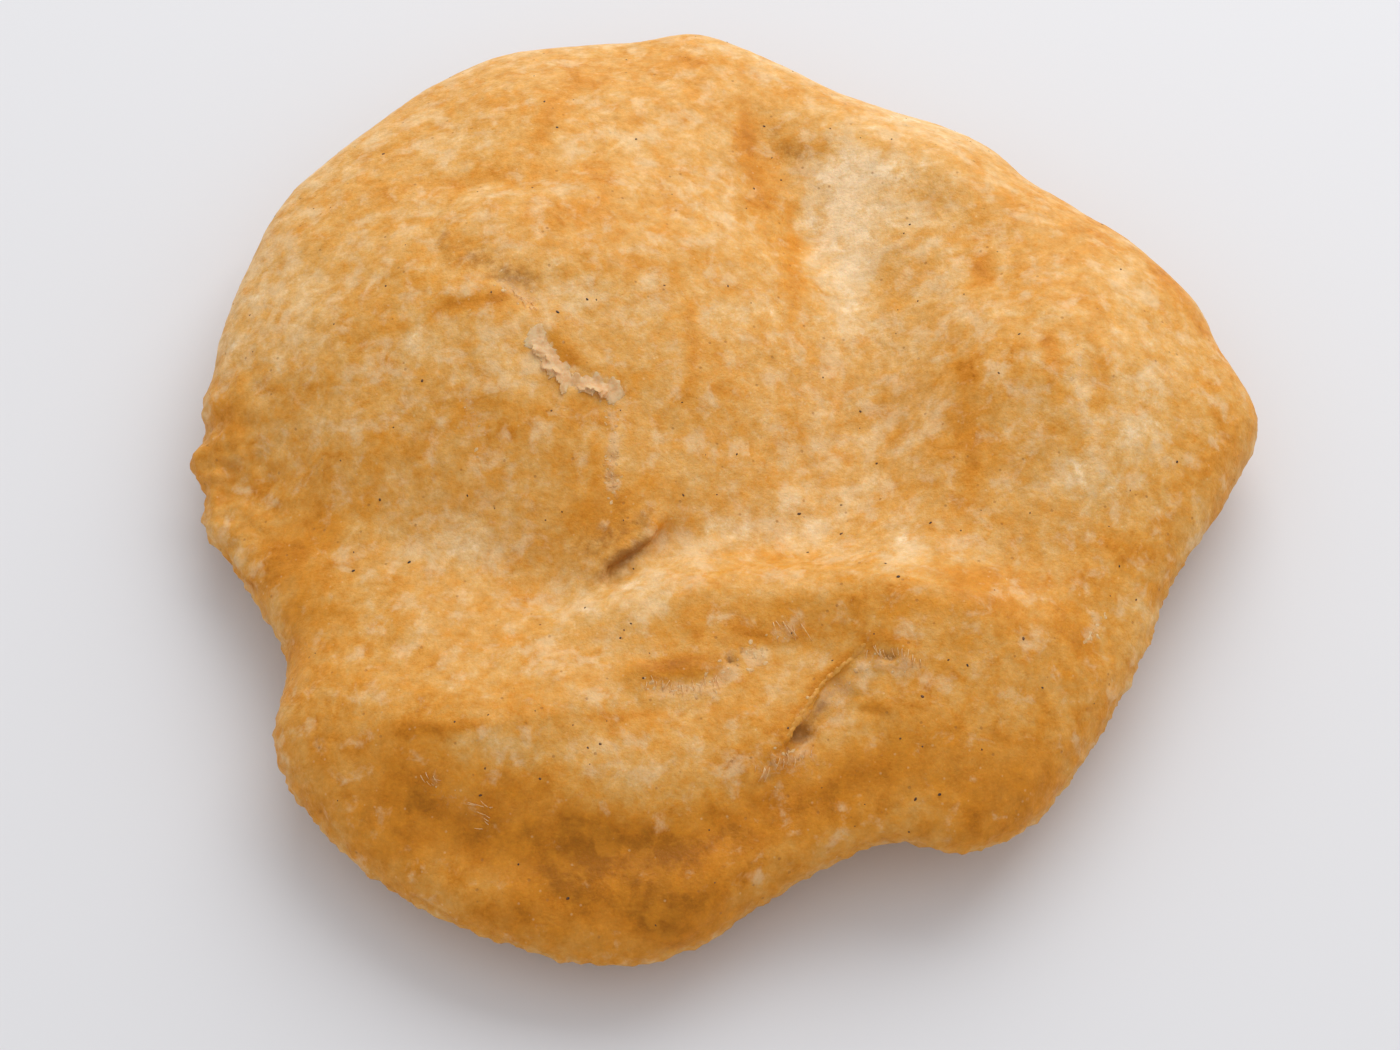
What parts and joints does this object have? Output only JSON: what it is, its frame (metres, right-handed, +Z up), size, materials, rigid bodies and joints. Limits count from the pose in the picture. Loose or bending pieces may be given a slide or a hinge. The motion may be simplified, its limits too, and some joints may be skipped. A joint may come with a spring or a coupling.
{
  "type": "fried bake",
  "caption": "Round of fried bread dough, puffed into two low domes with a sunken valley between them and folded lobes along one side, lying flat.",
  "frame": {"origin": "centre of the bounding box in plan, at the height of the flat sole that it rests on", "axes": "+Z up, away from the sole; the folded lobes face -Y; the blunt tip points to +X"},
  "size_m": [0.1214, 0.1236, 0.0249],
  "materials": {
    "fried_crust": "golden fried bread crust, matt with a faint sheen of oil"
  },
  "bodies": {
    "root": {"bake": "fried_crust"}
  },
  "joints": []
}
